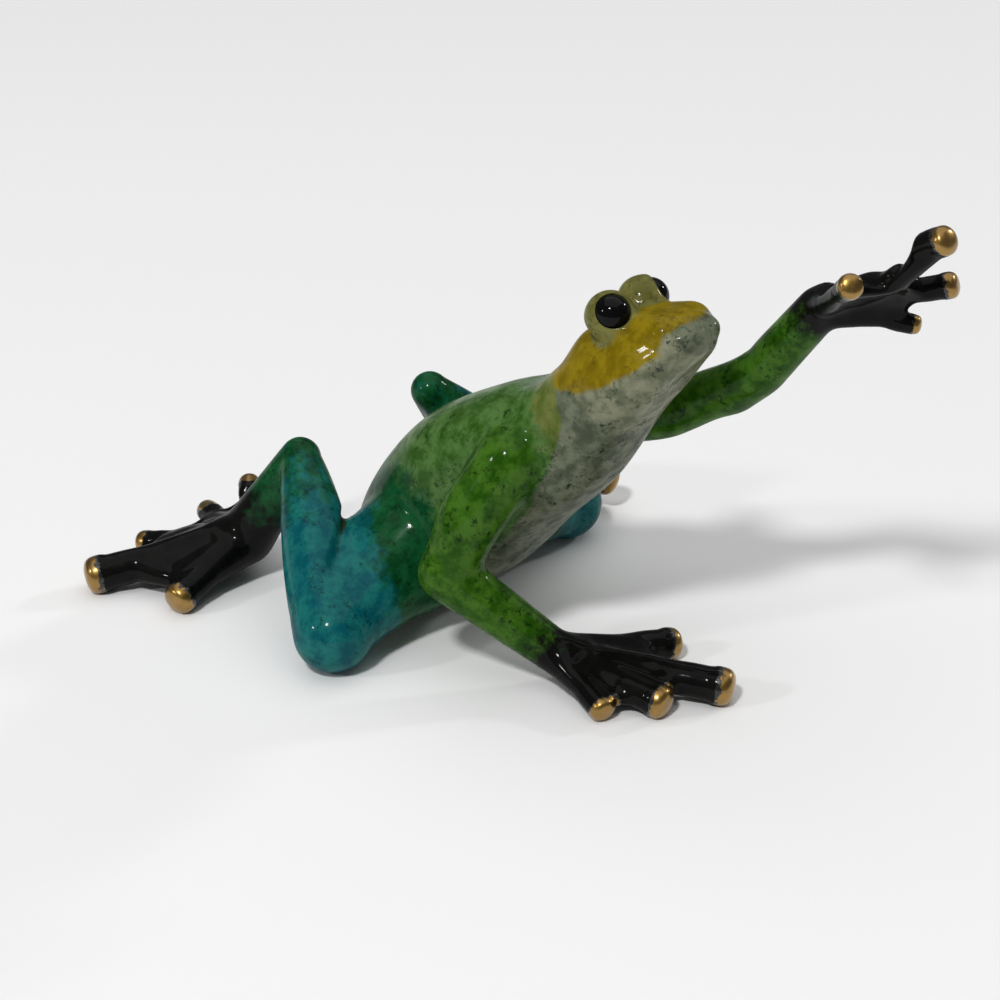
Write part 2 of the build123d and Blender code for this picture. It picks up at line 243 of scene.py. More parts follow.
def smoothstep(value: np.ndarray, low: float, high: float) -> np.ndarray:
    """0 at low, 1 at high and soft in between; high may be the smaller of the two."""
    t = np.clip((value - low) / (high - low), 0, 1)
    return t * t * (3 - 2 * t)


def fade(distance: np.ndarray, radius: float) -> np.ndarray:
    """A soft brush: 1 in its middle and 0 from its radius on."""
    return smoothstep(distance, radius, 0)


def along_path(points: np.ndarray, path: Sequence[Sequence[float]]) -> tuple[np.ndarray, np.ndarray]:
    """How near points lie to a path, and where along it.

    Args:
        points: places, one a row.
        path: the path's corners.

    Returns:
        Each point's distance from the path, and the share of the path's length at its nearest place.
    """
    corners = np.array(path, float)
    lengths = np.linalg.norm(np.diff(corners, axis=0), axis=1)
    done = np.concatenate([[0], np.cumsum(lengths)]) / lengths.sum()
    best = np.full(len(points), np.inf)
    share = np.zeros(len(points))
    for i, (a, b) in enumerate(zip(corners, corners[1:])):
        step = b - a
        t = np.clip((points - a) @ step / (step @ step), 0, 1)
        distance = np.linalg.norm(points - a - t[:, None] * step, axis=1)
        nearer = distance < best
        best[nearer] = distance[nearer]
        share[nearer] = (done[i] + t * (done[i + 1] - done[i]))[nearer]
    return best, share


def direction(start: Sequence[float], end: Sequence[float]) -> np.ndarray:
    """The unit vector from one place to another."""
    span = np.array(end, float) - np.array(start, float)
    return span / np.linalg.norm(span)


# The figure's places


@dataclass(frozen=True)
class Trunk:
    """Head and body: the middle plane, the line from rump to snout, and the marks on it."""

    middle: float = -3.83
    rump: Pair = (-44.6, 10.0)
    snout: Pair = (47.3, 85.8)
    spine_sag: float = 3.6
    lip: tuple[Point, ...] = (
        (48.3, -3.8, 85.9),
        (47.3, -8.2, 85.3),
        (45.0, -10.8, 83.6),
        (42.4, -13.1, 80.7),
        (38.8, -14.8, 77.6),
        (34.7, -16.0, 74.0),
        (29.2, -16.8, 70.6),
    )

    def mirrored(self, path: Sequence[Point]) -> list[Point]:
        """A path on the right side, on the left side."""
        return [(x, 2 * self.middle - y, z) for x, y, z in path]

    def mirrored_balls(self, balls: Sequence[Ball]) -> list[Ball]:
        """Balls on the right side, on the left side."""
        places = self.mirrored([middle for middle, _ in balls])
        return [(place, radius) for place, (_, radius) in zip(places, balls)]

    def coordinates(self, points: np.ndarray) -> tuple[np.ndarray, np.ndarray]:
        """Places in the trunk's own terms.

        Args:
            points: places, one a row.

        Returns:
            Shares of the way from rump to snout, and heights above the spine.
        """
        span = np.array(self.snout) - np.array(self.rump)
        length = np.linalg.norm(span)
        forward = span / length
        flat = points[:, [0, 2]] - np.array(self.rump)
        share = flat @ forward / length
        rise = flat @ np.array([-forward[1], forward[0]])
        return share, rise + self.spine_sag * np.sin(np.pi * np.clip(share, 0, 1))


@dataclass(frozen=True)
class Bone:
    """One stretch of a limb, with its girth at both ends."""

    start: Point
    end: Point
    radii: Pair

    def ball(self, share: float, girth: float = 1.0) -> Ball:
        """A ball on the bone, some way along it, as a share of the bone's own girth."""
        middle = np.array(self.start) * (1 - share) + np.array(self.end) * share
        return middle, girth * (self.radii[0] * (1 - share) + self.radii[1] * share)

    def gap(self, points: np.ndarray) -> np.ndarray:
        """How far points lie outside the bone's flesh."""
        distance, share = along_path(points, (self.start, self.end))
        return distance - self.radii[0] * (1 - share) - self.radii[1] * share


@dataclass(frozen=True)
class Limb:
    """A leg's joints from the trunk to the root of the foot, and the girth at each."""

    side: Side
    end: End
    joints: tuple[Point, ...]
    radii: tuple[float, ...]

    @property
    def name(self) -> str:
        """The limb in words, as the solids are named."""
        return f"{self.side.value}_{self.end.value}"

    @property
    def axis(self) -> np.ndarray:
        """The last bone's direction, into the foot."""
        return direction(self.joints[-2], self.joints[-1])

    def bone(self, index: int) -> Bone:
        """One of the limb's bones, counted from the trunk."""
        return Bone(self.joints[index], self.joints[index + 1], self.radii[index : index + 2])


LIMBS = (
    Limb(
        Side.RIGHT,
        End.FORE,
        ((8.9, -18.9, 49.8), (1.1, -31.0, 24.9), (22.1, -18.8, 7.6)),
        (7.2, 6.3, 4.9),
    ),
    Limb(
        Side.LEFT,
        End.FORE,
        ((8.9, 11.3, 49.8), (40.0, 19.0, 59.6), (60.6, 19.0, 86.9)),
        (7.2, 5.5, 4.9),
    ),
    Limb(
        Side.RIGHT,
        End.HIND,
        ((-21.6, -17.8, 17.0), (-19.7, -44.7, 8.5), (-50.8, -21.2, 32.9), (-64.1, -26.6, 10.0)),
        (15.0, 8.9, 4.5, 6.8),
    ),
    Limb(
        Side.LEFT,
        End.HIND,
        ((-21.6, 10.1, 17.0), (-20.2, 37.1, 8.5), (-40.2, 11.4, 41.0), (-45.8, 29.7, 21.9)),
        (15.0, 8.9, 4.5, 6.8),
    ),
)
HIND_LIMBS = tuple(limb for limb in LIMBS if limb.end is End.HIND)


@dataclass(frozen=True)
class Pinned:
    """A rounded piece on a peg, measured on its solid: a toe's tip or an eye."""

    # How near the peg's end its corners are taken from, narrower each time, and the same for the top
    PEG_SLACKS = (0.5, 0.05, 0.02, 0.02)
    TOP_SLACK = 0.05
    GIRTH_SLACK = 0.02

    foot: np.ndarray
    heading: np.ndarray
    radius: float
    shoulder: float
    length: float

    @classmethod
    def measured(cls, points: np.ndarray, guess: np.ndarray) -> "Pinned":
        """Measures a piece.

        Args:
            points: the solid's corners.
            guess: about where the piece points.

        Returns:
            The peg's end, the heading, the greatest girth, where that girth ends and where the piece ends.
        """
        heading = guess
        for slack in cls.PEG_SLACKS:
            reach = points @ heading
            foot = points[reach < reach.min() + slack].mean(axis=0)
            heading = direction(foot, points[reach > reach.max() - cls.TOP_SLACK].mean(axis=0))
        ahead, aside = cls.split(points - foot, heading)
        girth = np.linalg.norm(aside, axis=1)
        shoulder = float(ahead[girth > girth.max() - cls.GIRTH_SLACK].max())
        return cls(foot, heading, float(girth.max()), shoulder, float(ahead.max()))

    @staticmethod
    def split(offset: np.ndarray, heading: np.ndarray) -> tuple[np.ndarray, np.ndarray]:
        """Offsets as lengths along a heading and what is left beside it."""
        ahead = offset @ heading
        return ahead, offset - np.outer(ahead, heading)

    @property
    def centre(self) -> np.ndarray:
        """The middle of the ball that rounds the piece's end."""
        return self.foot + self.heading * (self.length - self.radius)

    def ball_behind(self, root: Sequence[float], share: float, girth: float = 1.0) -> Ball:
        """A ball on the toe behind its tip, by shares of the toe's length and of the tip's girth."""
        length = np.linalg.norm(self.centre - np.array(root))
        return self.centre - self.heading * (share * length), girth * self.radius


def corners_of(obj: bpy.types.Object) -> np.ndarray:
    """An object's corners in millimetres, one a row."""
    return np.unique(np.round(np.array([v.co for v in obj.data.vertices]) / MM, 3), axis=0)


def turned_axis(points: np.ndarray, outward: np.ndarray) -> np.ndarray:
    """The axis of a turned piece.

    Args:
        points: the piece's corners, even round its axis.
        outward: about where the axis points.

    Returns:
        The direction in which the corners spread unlike they do in the other two.
    """
    span = points - points.mean(axis=0)
    spreads, axes = np.linalg.eigh(span.T @ span)
    axis = axes[:, 0 if spreads[1] - spreads[0] > spreads[2] - spreads[1] else 2]
    return axis * np.sign(axis @ outward)


def toe_tips(limb: Limb) -> list[Pinned]:
    """Measures the toe tips of a foot on their solids.

    Args:
        limb: the foot's limb.

    Returns:
        One entry per toe, in order round the foot.
    """
    copy = node_copy(f"{limb.name}_toe_tips", "measured_tips")
    with editing(copy):
        bpy.ops.mesh.separate(type="LOOSE")
    tips = []
    for part in list(bpy.context.selected_objects):
        points = corners_of(part)
        tips.append(Pinned.measured(points, direction(limb.joints[-1], points.mean(axis=0))))
        bpy.data.objects.remove(part)
    spread = np.array([direction(limb.joints[-1], tip.centre)[:2] for tip in tips])
    middle = spread.sum(axis=0)
    turns = np.arctan2(middle[0] * spread[:, 1] - middle[1] * spread[:, 0], spread @ middle)
    return [tips[i] for i in np.argsort(turns)]


# Modelling


@dataclass(frozen=True)
class Touch:
    """One pull of the modeller's thumb: where, how far round about, and which way."""

    place: Point
    radius: float
    move: Point


@dataclass(frozen=True)
class Crease:
    """A fold's groove: half its width, its depth, how near both bones it lies, and how far from the fold."""

    width: float
    depth: float
    near: Band
    clear: Band


class Clay:
    """A dense mesh whose points are pushed about as modelling clay is."""

    RELAX_FACTOR = 0.5
    WEIGHT_LEVELS = 20
    # A ridge runs out over the ends of its path, this share past them and this steeply
    TAPER_SHARE = 0.08
    TAPER_STEEPNESS = 6

    def __init__(self, obj: bpy.types.Object) -> None:
        """Takes up an object's points."""
        self.obj = obj
        self.points = self.read()

    def read(self) -> np.ndarray:
        """The mesh's points in millimetres, one a row."""
        return values_of(self.obj.data.vertices, "co", 3, np.float32).reshape(-1, 3).astype(float) / MM

    def write(self) -> None:
        """Puts the moved points back into the mesh."""
        self.obj.data.vertices.foreach_set("co", (self.points * MM).astype(np.float32).ravel())
        self.obj.data.update()

    def normals(self) -> np.ndarray:
        """The direction in which the surface faces at each point."""
        self.write()
        return values_of(self.obj.data.vertex_normals, "vector", 3, np.float32).reshape(-1, 3).astype(float)

    def refine(self, chosen: np.ndarray, cuts: int) -> None:
        """Makes the mesh finer round some of its points, for detail that the even mesh can't hold.

        Args:
            chosen: whether each point lies where the mesh is made finer.
            cuts: how many times each edge there is cut.
        """
        self.write()
        with editing(self.obj):
            bpy.ops.mesh.select_all(action="DESELECT")
            bpy.ops.mesh.select_mode(type="VERT")
        self.obj.data.vertices.foreach_set("select", chosen)
        bpy.ops.object.mode_set(mode="EDIT")
        bpy.ops.mesh.subdivide(number_cuts=cuts)
        bpy.ops.object.mode_set(mode="OBJECT")
        self.points = self.read()

    def push(self, height: np.ndarray) -> None:
        """Moves each point out along the surface's own direction, or in where the height is negative."""
        self.points += self.normals() * height[:, None]

    def swell(self, path: Sequence[Sequence[float]], radius: float, height: float) -> None:
        """Raises a ridge along a path, or sinks a groove where the height is negative.

        Args:
            path: the ridge's line, on or near the surface.
            radius: how wide the brush is, from the line outwards.
            height: how far the surface moves on the line itself.
        """
        distance, share = along_path(self.points, path)
        inside = np.minimum(share, 1 - share) + self.TAPER_SHARE
        self.push(height * fade(distance, radius) * np.minimum(1, self.TAPER_STEEPNESS * inside))

    def crease(self, one: Bone, other: Bone, groove: Crease) -> None:
        """Sinks a groove along the line where two bones of a folded limb lie against each other.

        Args:
            one: the bone before the fold.
            other: the bone after it, which starts where the first ends.
            groove: the groove's form.
        """
        gaps = one.gap(self.points), other.gap(self.points)
        from_fold = np.linalg.norm(self.points - np.array(one.end), axis=1)
        near = smoothstep(np.maximum(*gaps), *groove.near) * smoothstep(from_fold, *groove.clear)
        self.push(-groove.depth * near * fade(np.abs(gaps[0] - gaps[1]), groove.width))

    def grab(self, touch: Touch) -> None:
        """Pulls all that lies near a place along with it."""
        distance = np.linalg.norm(self.points - np.array(touch.place), axis=1)
        self.points += fade(distance, touch.radius)[:, None] * np.array(touch.move)

    def relax(self, weight: np.ndarray, repeat: int) -> None:
        """Smooths the surface, more where the weight is greater.

        Args:
            weight: a share from 0 to 1 for each point.
            repeat: how many passes of the smoothing are made.
        """
        self.write()
        group = self.obj.vertex_groups.new(name="relaxed")
        levels = np.round(weight * self.WEIGHT_LEVELS).astype(int)
        for level in range(1, self.WEIGHT_LEVELS + 1):
            chosen = np.flatnonzero(levels == level).tolist()
            if chosen:
                group.add(chosen, level / self.WEIGHT_LEVELS, "REPLACE")
        smooth = self.obj.modifiers.new("relax", "SMOOTH")
        smooth.factor = self.RELAX_FACTOR
        smooth.iterations = repeat
        smooth.vertex_group = group.name
        activate(self.obj)
        bpy.ops.object.modifier_apply(modifier=smooth.name)
        self.obj.vertex_groups.clear()
        self.points = self.read()

    def blurred(self, values: np.ndarray, repeat: int) -> np.ndarray:
        """Values evened out between neighbouring points.

        Args:
            values: one number per point.
            repeat: how many times each point takes the mean of its neighbours.

        Returns:
            The evened numbers.
        """
        ends = values_of(self.obj.data.edges, "vertices", 2, np.int32)
        one, other = ends[0::2], ends[1::2]
        size = len(values)
        count = np.bincount(one, minlength=size) + np.bincount(other, minlength=size)
        for _ in range(repeat):
            total = np.bincount(one, values[other], size) + np.bincount(other, values[one], size)
            values = total / count
        return values

    def keep(self, name: str, values: np.ndarray) -> None:
        """Stores one number per point on the mesh, for the finish to read."""
        attribute = self.obj.data.attributes.new(name, "FLOAT", "POINT")
        attribute.data.foreach_set("value", values.astype(np.float32))


@dataclass
class Skin:
    """The figure's whole surface, modelled over the joined castings and the flesh between them."""

    voxel: float = 0.5
    all_over_passes: int = 12

    # Joints: how far the smoothing reaches, and the share or length of that at which it is full
    joint_passes: int = 120
    joint_core_share: float = 0.5
    shoulder_radius: float = 17.0
    hip_radius: float = 25.0
    elbow_radius: float = 20.0
    fold_radius: float = 27.0
    fold_middle_share: float = 0.4
    foot_band: Band = (26.0, 12.0)
    foot_weight: float = 0.55

    # Flesh, as balls on the bones: how far along, and the share of the bone's girth
    fold_thigh_shares: tuple[Pair, ...] = ((0.45, 0.72), (1.0, 0.95))
    fold_shank_shares: tuple[Pair, ...] = ((0.5, 0.7),)
    elbow_upper_shares: tuple[Pair, ...] = ((0.66, 1.0), (1.0, 1.0))
    elbow_lower_shares: tuple[Pair, ...] = ((0.34, 1.05),)
    palm_girth_share: float = 0.95
    web_girth_share: float = 0.74
    fold: Crease = Crease(width=2.4, depth=1.15, near=(7.0, 4.0), clear=(9.0, 16.0))

    # Brow and snout, on the right side of the head
    forehead: tuple[Ball, ...] = (((31.0, -6.8, 81.4), 4.6), ((41.2, -8.4, 84.0), 4.6))
    lip_width: float = 3.2
    lip_height: float = 0.7
    mouth_drop: float = 2.4
    mouth_width: float = 1.4
    mouth_depth: float = 0.3

    # Eyes: where the skin sinks under the stone's rim, and how far below its dome
    eye_fine_radius: float = 7.5
    eye_cuts: int = 2
    eye_rim_band: Band = (0.05, -0.3)
    eye_sink: float = 0.6
    lid_height: float = 0.25
    lid_width: float = 1.0
    lid_middle: float = 0.8
    lid_back: float = 2.0
    lid_reach: float = 3.0

    # Webs: how far short of the tips each ends, as shares of the toes, in order round the foot
    web_shares: dict[str, tuple[float, ...]] = field(
        default_factory=lambda: {
            "right_fore": (0.16, 0.22, 0.34),
            "left_fore": (0.75, 0.36, 0.26),
            "right_hind": (0.34, 0.28, 0.25, 0.22),
            "left_hind": (0.3, 0.3, 0.3, 0.3),
        }
    )
    web_root_share: float = 0.35
    web_lift: float = 2.6
    web_width: float = 5.0
    web_depth: float = 1.1

    # Toes, in shares of the tip's girth
    neck_girth_share: float = 0.88
    neck_core_share: float = 0.3
    neck_band: Band = (-3.0, -1.2)
    even_back_share: float = 7.0
    even_girth_share: float = 3.0
    even_passes: int = 8
    pad_reach_share: float = 1.2
    pad_end_share: float = 0.97
    pad_flat_share: float = 0.86
    pad_squareness: float = 2.8

    # Rump, back, nape, planted arm, both sides of the raised elbow, raised hand and throat
    touches: tuple[Touch, ...] = (
        Touch((-32.8, -13.8, 35.8), 22.0, (1.3, 0.6, -0.7)),
        Touch((8.0, -5.0, 66.0), 17.0, (0.7, 0.0, -1.6)),
        Touch((22.0, -6.5, 78.0), 11.0, (-1.6, 0.0, 2.0)),
        Touch((5.0, -25.0, 37.4), 14.0, (-1.6, -1.2, 0.0)),
        Touch((42.0, 19.0, 53.5), 17.0, (-0.9, 0.4, 2.0)),
        Touch((38.5, 17.5, 69.0), 13.0, (0.4, -0.4, -0.6)),
        Touch((75.5, 15.0, 104.5), 11.0, (0.8, -1.0, -2.7)),
        Touch((65.5, 17.5, 97.0), 9.0, (0.9, -1.1, -2.8)),
        Touch((75.0, 17.7, 101.3), 9.0, (0.7, -0.8, -2.0)),
        Touch((44.0, -3.3, 73.5), 9.0, (-1.3, 0.0, 0.6)),
    )
    trunk: Trunk = field(default_factory=Trunk)
    tips: dict[str, list[Pinned]] = field(default_factory=dict)
    eyes: dict[Side, Pinned] = field(default_factory=dict)

    def castings(self) -> list[str]:
        """The solids that show on the outside, apart from the eyes."""
        limbs = [f"{limb.name}_{part}" for limb in LIMBS for part in ("leg", "foot", "toe_tips")]
        return ["torso_casting", "belly_plug", *limbs]

    def measure(self) -> None:
        """Measures the toe tips and the eyes on their solids."""
        self.tips = {limb.name: toe_tips(limb) for limb in LIMBS}
        brow = (self.forehead[0][0][0], self.trunk.middle, self.forehead[0][0][2])
        for side in Side:
            points = corners_of(frame["nodes"][f"{side.value}_eye"])
            axis = turned_axis(points, direction(brow, points.mean(axis=0)))
            self.eyes[side] = Pinned.measured(points, axis)

    def all_tips(self) -> list[Pinned]:
        """The tips of all the toes."""
        return [tip for tips in self.tips.values() for tip in tips]

    def webs(self, limb: Limb) -> Iterator[tuple[Pinned, Pinned, float]]:
        """The webs of a foot: the toes on both sides, and how far short of their tips each web ends."""
        tips = self.tips[limb.name]
        return zip(tips, tips[1:], self.web_shares[limb.name])

    def flesh(self) -> list[bpy.types.Object]:
        """The flesh between the bones: palms, the folds of the hind legs, the raised elbow, the forehead.

        Returns:
            Closed forms that overlap the castings.
        """
        forms = [hull("forehead", [*self.forehead, *self.trunk.mirrored_balls(self.forehead)])]
        for limb in LIMBS:
            root = limb.joints[-1]
            palm = (root, self.palm_girth_share * limb.radii[-1])
            for one, other, share in self.webs(limb):
                ends = [tip.ball_behind(root, share, self.web_girth_share) for tip in (one, other)]
                forms.append(hull(f"{limb.name}_palm", [palm, *ends]))
            if limb.end is End.HIND:
                shares = self.fold_thigh_shares, self.fold_shank_shares
            elif limb.side is Side.LEFT:
                shares = self.elbow_upper_shares, self.elbow_lower_shares
            else:
                continue
            balls = [limb.bone(i).ball(*share) for i in range(2) for share in shares[i]]
            forms.append(hull(f"{limb.name}_bend", balls))
        return forms

    def rough(self) -> Clay:
        """Joins castings and flesh, and keeps their outer surface as one even mesh.

        Returns:
            The clay to be modelled.
        """
        filled = [*self.castings(), *(f"{side.value}_eye" for side in Side)]
        copies = [node_copy(node, f"rough_{node}") for node in filled]
        skin = joined([*copies, *self.flesh()])
        skin.name = "frog_skin"
        remesh = skin.modifiers.new("even_mesh", "REMESH")
        remesh.mode = "VOXEL"
        remesh.voxel_size = self.voxel * MM
        activate(skin)
        bpy.ops.object.modifier_apply(modifier=remesh.name)
        with editing(skin):
            bpy.ops.mesh.separate(type="LOOSE")
        islands = sorted(bpy.context.selected_objects, key=lambda obj: len(obj.data.vertices))
        for inside in islands[:-1]:
            bpy.data.objects.remove(inside)
        return Clay(islands[-1])

    def model(self) -> Clay:
        """Models the skin: softened joints, creases, the face, and the blunt toe pads.

        Returns:
            The finished clay, no larger than the solids' box.
        """
        self.measure()
        clay = self.rough()
        clay.relax(np.ones(len(clay.points)), self.all_over_passes)
        self.soften_joints(clay)
        for touch in self.touches:
            clay.grab(touch)
        for limb in HIND_LIMBS:
            clay.crease(limb.bone(0), limb.bone(1), self.fold)
        self.model_face(clay)
        self.model_eyes(clay)
        self.sink_webs(clay)
        self.fill_toes(clay)
        self.square_pads(clay)
        clay.points = np.clip(clay.points, np.array(CAD_BOX[0]) / MM, np.array(CAD_BOX[1]) / MM)
        clay.write()
        return clay

    def soften_joints(self, clay: Clay) -> None:
        """Runs the limbs into the body, and on through elbows and folded knees, with no corner left.

        Args:
            clay: the skin.
        """
        weight = np.zeros(len(clay.points))
        for limb in LIMBS:
            if limb.end is End.FORE:
                bend = (limb.joints[1], self.elbow_radius)
                spots = [(limb.joints[0], self.shoulder_radius), bend]
            else:
                bend = (limb.bone(1).ball(self.fold_middle_share)[0], self.fold_radius)
                spots = [(limb.joints[0], self.hip_radius), bend]
            for place, radius in spots:
                distance = np.linalg.norm(clay.points - np.array(place), axis=1)
                full = self.joint_core_share * radius
                weight = np.maximum(weight, smoothstep(distance, radius, full))
            from_root = np.linalg.norm(clay.points - np.array(limb.joints[-1]), axis=1)
            weight = np.maximum(weight, self.foot_weight * smoothstep(from_root, *self.foot_band))
        clay.relax(weight, self.joint_passes)

    def model_face(self, clay: Clay) -> None:
        """Raises the lips from the snout back past the eyes, with the mouth's line under them.

        Args:
            clay: the skin.
        """
        for lip in (self.trunk.lip, self.trunk.mirrored(self.trunk.lip)):
            clay.swell(lip, self.lip_width, self.lip_height)
            mouth = [(x, y, z - self.mouth_drop) for x, y, z in lip[1:]]
            clay.swell(mouth, self.mouth_width, -self.mouth_depth)

    def model_eyes(self, clay: Clay) -> None:
        """Seats the eyes: a clean edge round each stone, with a low lid outside it.

        Args:
            clay: the skin.
        """
        near = np.zeros(len(clay.points), bool)
        for eye in self.eyes.values():
            near |= np.linalg.norm(clay.points - eye.centre, axis=1) < self.eye_fine_radius
        clay.refine(near, self.eye_cuts)
        for eye in self.eyes.values():
            rise = eye.length - eye.shoulder
            dome = (eye.radius**2 + rise**2) / (2 * rise)
            ahead, aside = Pinned.split(clay.points - eye.foot, eye.heading)
            out = np.linalg.norm(aside, axis=1)
            from_rim = out - eye.radius
            front = (ahead > eye.shoulder - self.lid_back) & (from_rim < self.lid_reach)
            lid = self.lid_height * fade(np.abs(from_rim - self.lid_middle), self.lid_width)
            stone = eye.length - dome + np.sqrt(np.clip(dome**2 - out**2, 0, None))
            sink = (stone - self.eye_sink - ahead) * smoothstep(from_rim, *self.eye_rim_band)
            clay.points[front] += np.outer((lid + sink)[front], eye.heading)

    def sink_webs(self, clay: Clay) -> None:
        """Sinks both faces of the webs, so that each toe stands out as a ridge.

        Args:
            clay: the skin.
        """
        for limb in LIMBS:
            root = np.array(limb.joints[-1])
            for one, other, share in self.webs(limb):
                edge = (one.ball_behind(root, share)[0] + other.ball_behind(root, share)[0]) / 2
                start = root + self.web_root_share * (edge - root)
                across = np.cross(one.heading, other.heading)
                lift = self.web_lift * across / np.linalg.norm(across)
                for face in (lift, -lift):
                    clay.swell((start + face, edge + face), self.web_width, -self.web_depth)

    def fill_toes(self, clay: Clay) -> None:
        """Fills the toes out behind their tips, and evens the feet.

        Args:
            clay: the skin.
        """
        feet = np.zeros(len(clay.points))
        for tip in self.all_tips():
            ahead, aside = Pinned.split((clay.points - tip.centre) / tip.radius, tip.heading)
            girth = np.linalg.norm(aside, axis=1)
            thin = (girth < self.neck_girth_share) & (girth > self.neck_core_share)
            thin &= (ahead > self.neck_band[0]) & (ahead < 0)
            full = smoothstep(ahead[thin], *self.neck_band)
            grow = (self.neck_girth_share / girth[thin] - 1) * full
            clay.points[thin] += tip.radius * aside[thin] * grow[:, None]
            feet[(ahead > -self.even_back_share) & (girth < self.even_girth_share)] = 1
        clay.relax(feet, self.even_passes)

    def square_pads(self, clay: Clay) -> None:
        """Squares the toes' round tips into blunt pads.

        Args:
            clay: the skin.
        """
        power = self.pad_squareness
        for tip in self.all_tips():
            offset = clay.points - tip.centre
            ahead, aside = Pinned.split(offset, tip.heading)
            near = (ahead > 0) & (np.linalg.norm(offset, axis=1) < self.pad_reach_share * tip.radius)
            share = np.clip(ahead[near] / tip.radius, 0, self.pad_end_share)
            squarer = (1 - share**power) ** (1 / power) / np.sqrt(1 - share**2)
            shift = (self.pad_flat_share - 1) * ahead[near] * smoothstep(share, 0, 1)
            clay.points[near] += np.outer(shift, tip.heading) + aside[near] * (squarer - 1)[:, None]


# Which casting the skin belongs to


@dataclass
class Parting:
    """Divides the modelled skin along the castings' joints, and closes each piece."""

    clay: Clay
    castings: list[str]
    vote_passes: int = 8
    pinch_passes: int = 10
    most_borders: int = 3

    def __post_init__(self) -> None:
        """Finds the casting that each point of the skin lies nearest to."""
        corners: list[Vector] = []
        faces: list[tuple[int, ...]] = []
        owners: list[int] = []
        for index, node in enumerate(self.castings):
            mesh = frame["nodes"][node].data
            start = len(corners)
            corners += [v.co.copy() for v in mesh.vertices]
            faces += [tuple(start + i for i in polygon.vertices) for polygon in mesh.polygons]
            owners += [index] * len(mesh.polygons)
        tree = BVHTree.FromPolygons(corners, faces)
        nearest = [tree.find_nearest(v.co)[2] for v in self.clay.obj.data.vertices]
        self.owners = np.array(owners)[nearest]

    def claim(self, node: str, points: np.ndarray) -> None:
        """Gives some of the skin's points to a casting."""
        self.owners[points] = self.castings.index(node)

    def belongs(self, *nodes: str) -> np.ndarray:
        """Whether each point of the skin belongs to one of some castings."""
        return np.isin(self.owners, [self.castings.index(node) for node in nodes])

    def votes(self, loops: np.ndarray, labels: np.ndarray) -> np.ndarray:
        """How many of the faces round each point have each label.

        Args:
            loops: the point at each corner of each face.
            labels: the label at each corner of each face.

        Returns:
            One row per point, with one number per label.
        """
        counts = np.zeros((len(self.owners), len(self.castings)), np.float32)
        np.add.at(counts, (loops, labels), 1)
        return counts

    def labels(self) -> np.ndarray:
        """The casting that each face of the skin belongs to.

        Returns:
            One index into the castings per face, evened out among neighbours.
        """
        mesh = self.clay.obj.data
        loops = values_of(mesh.loops, "vertex_index", 1, np.int64)
        sizes = values_of(mesh.polygons, "loop_total", 1, np.int64)
        faces = np.repeat(np.arange(len(sizes)), sizes)
        at_point = np.zeros((len(self.owners), len(self.castings)), np.float32)
        at_point[np.arange(len(self.owners)), self.owners] = 1
        for _ in range(self.vote_passes):
            at_face = np.zeros((len(sizes), len(self.castings)), np.float32)
            np.add.at(at_face, faces, at_point[loops])
            found = at_face.argmax(axis=1)
            at_point = self.votes(loops, found[faces])
        return self.unpinched(found, loops, faces)

    def unpinched(self, found: np.ndarray, loops: np.ndarray, faces: np.ndarray) -> np.ndarray:
        """Parts borders that touch at a point, so that each border is a plain loop.

        Args:
            found: the label of each face.
            loops: the point at each corner of each face.
            faces: the face of each corner.

        Returns:
            The mended labels.
        """
        mesh = self.clay.obj.data
        edges = values_of(mesh.loops, "edge_index", 1, np.int64)
        ends = values_of(mesh.edges, "vertices", 2, np.int64).reshape(-1, 2)
        for _ in range(self.pinch_passes):
            own = found[faces]
            least, most = np.full(len(ends), len(self.castings)), np.full(len(ends), -1)
            np.minimum.at(least, edges, own)
            np.maximum.at(most, edges, own)
            meeting = np.bincount(ends[least != most].ravel(), minlength=len(self.owners))
            pinched = meeting[loops] > self.most_borders
            found[faces[pinched]] = self.votes(loops, own).argmax(axis=1)[loops[pinched]]
        return found

    def part(self) -> dict[str, bpy.types.Object]:
        """Parts the skin.

        Returns:
            The closed pieces by the names of the solids that they stand for.
        """
        skin = self.clay.obj
        normals = self.clay.normals()
        kept = skin.data.attributes.new("skin_normal", "FLOAT_VECTOR", "POINT")
        kept.data.foreach_set("vector", normals.astype(np.float32).ravel())
        found = self.labels()
        for node in self.castings:
            skin.data.materials.append(bpy.data.materials.new(f"label_{node}"))
        skin.data.polygons.foreach_set("material_index", found.astype(np.int32))
        with editing(skin):
            bpy.ops.mesh.separate(type="MATERIAL")
        pieces = {}
        for obj in list(bpy.context.selected_objects):
            index = obj.data.polygons[0].material_index
            node = obj.data.materials[index].name.removeprefix("label_")
            pieces[node] = self.closed(obj, f"{node}_skin")
        return pieces

    def closed(self, obj: bpy.types.Object, name: str) -> bpy.types.Object:
        """Closes a piece at its joints and keeps the skin's own shading across them.

        Args:
            obj: the open piece.
            name: its name.

        Returns:
            The same object.
        """
        obj.name = name
        obj.data.materials.clear()
        mesh = bmesh.new()
        mesh.from_mesh(obj.data)
        border = [edge for edge in mesh.edges if edge.is_boundary]
        caps = bmesh.ops.edgeloop_fill(mesh, edges=border)["faces"]
        bmesh.ops.poke(mesh, faces=caps)
        bmesh.ops.recalc_face_normals(mesh, faces=mesh.faces[:])
        mesh.to_mesh(obj.data)
        mesh.free()
        activate(obj)
        bpy.ops.object.shade_smooth()
        kept = obj.data.attributes["skin_normal"]
        normals = values_of(kept.data, "vector", 3, np.float32).reshape(-1, 3)
        obj.data.normals_split_custom_set_from_vertices(normals.tolist())
        obj.data.attributes.remove(obj.data.attributes["skin_normal"])
        return obj
